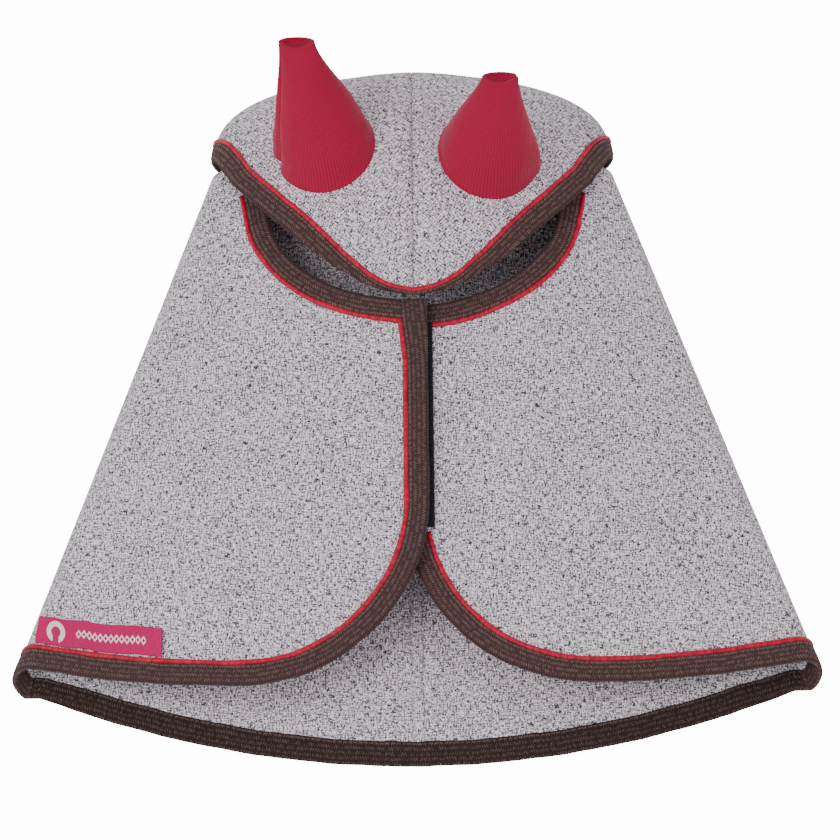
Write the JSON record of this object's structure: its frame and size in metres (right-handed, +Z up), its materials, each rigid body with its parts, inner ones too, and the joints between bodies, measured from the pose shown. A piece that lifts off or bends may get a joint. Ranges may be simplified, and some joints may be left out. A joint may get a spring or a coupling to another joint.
{
  "type": "toy horse fly sheet",
  "caption": "Hooded fly sheet for a toy horse: a laid, round-hemmed cape with lapped front flaps, bound edges, contrast piping and a hood with knitted ears.",
  "frame": {"origin": "centre of the base of the laid sheet, on the surface it lies on", "axes": "+Z up out of the front of the sheet, +Y from the hem towards the hood, +X to the right when seen from the hem end"},
  "size_m": [0.4724, 0.4419, 0.1397],
  "materials": {
    "grey_melange": "plain-woven melange canvas",
    "brown_tape": "ribbed folded binding tape",
    "red_satin": "satin piping",
    "crimson_rib": "fine rib knit",
    "navy_fastener": "hook and loop pile",
    "magenta_label": "woven label"
  },
  "bodies": {
    "cape": {"back_hem_binding": "brown_tape", "back_hem_piping": "red_satin", "back_seam_allowance": "grey_melange", "crown_seam_allowance": "grey_melange", "left_back_panel": "grey_melange", "left_hood_binding": "brown_tape", "left_hood_panel": "grey_melange", "left_hood_piping": "red_satin", "left_shoulder_binding": "brown_tape", "right_back_panel": "grey_melange", "right_hood_binding": "brown_tape", "right_hood_panel": "grey_melange", "right_hood_piping": "red_satin", "right_shoulder_binding": "brown_tape"},
    "forehead_flap": {"forehead_binding": "brown_tape", "forehead_piping": "red_satin", "forehead_seam_allowance": "grey_melange", "left_forehead_panel": "grey_melange", "right_forehead_panel": "grey_melange"},
    "left_flap": {"hook_strip": "navy_fastener", "left_front_binding": "brown_tape", "left_front_panel": "grey_melange", "left_front_piping": "red_satin", "left_neck_binding": "brown_tape", "left_neck_piping": "red_satin", "woven_label": "magenta_label"},
    "left_ear": {"left_ear": "crimson_rib"},
    "right_flap": {"loop_strip": "navy_fastener", "right_front_binding": "brown_tape", "right_front_panel": "grey_melange", "right_front_piping": "red_satin", "right_neck_binding": "brown_tape", "right_neck_piping": "red_satin"},
    "right_ear": {"right_ear": "crimson_rib"}
  },
  "joints": [
    {"name": "left_flap_hinge", "type": "hinge", "parent": "cape", "child": "left_flap", "pos_m": [-0.1626, -0.02064, 0.03413], "axis": [-0.3709, -0.9284, -0.0205], "range_deg": [0, 150]},
    {"name": "right_flap_hinge", "type": "hinge", "parent": "cape", "child": "right_flap", "pos_m": [0.1626, -0.02064, 0.03413], "axis": [-0.3709, 0.9284, 0.0205], "range_deg": [0, 120]},
    {"name": "brow_hinge", "type": "hinge", "parent": "cape", "child": "forehead_flap", "pos_m": [0, 0.11185, 0.07187], "axis": [-1, 0, 0], "range_deg": [0, 70]},
    {"name": "left_ear_bend", "type": "hinge", "parent": "cape", "child": "left_ear", "pos_m": [-0.053, 0.14885, 0.06369], "axis": [1, 0, 0], "range_deg": [-20, 20], "stiffness_Nm_per_rad": 0.05},
    {"name": "right_ear_bend", "type": "hinge", "parent": "cape", "child": "right_ear", "pos_m": [0.046, 0.14285, 0.0657], "axis": [1, 0, 0], "range_deg": [-20, 20], "stiffness_Nm_per_rad": 0.05}
  ],
  "couplings": [
    {"joint": "right_flap_hinge", "follows": "left_flap_hinge", "ratio": 0.8}
  ]
}
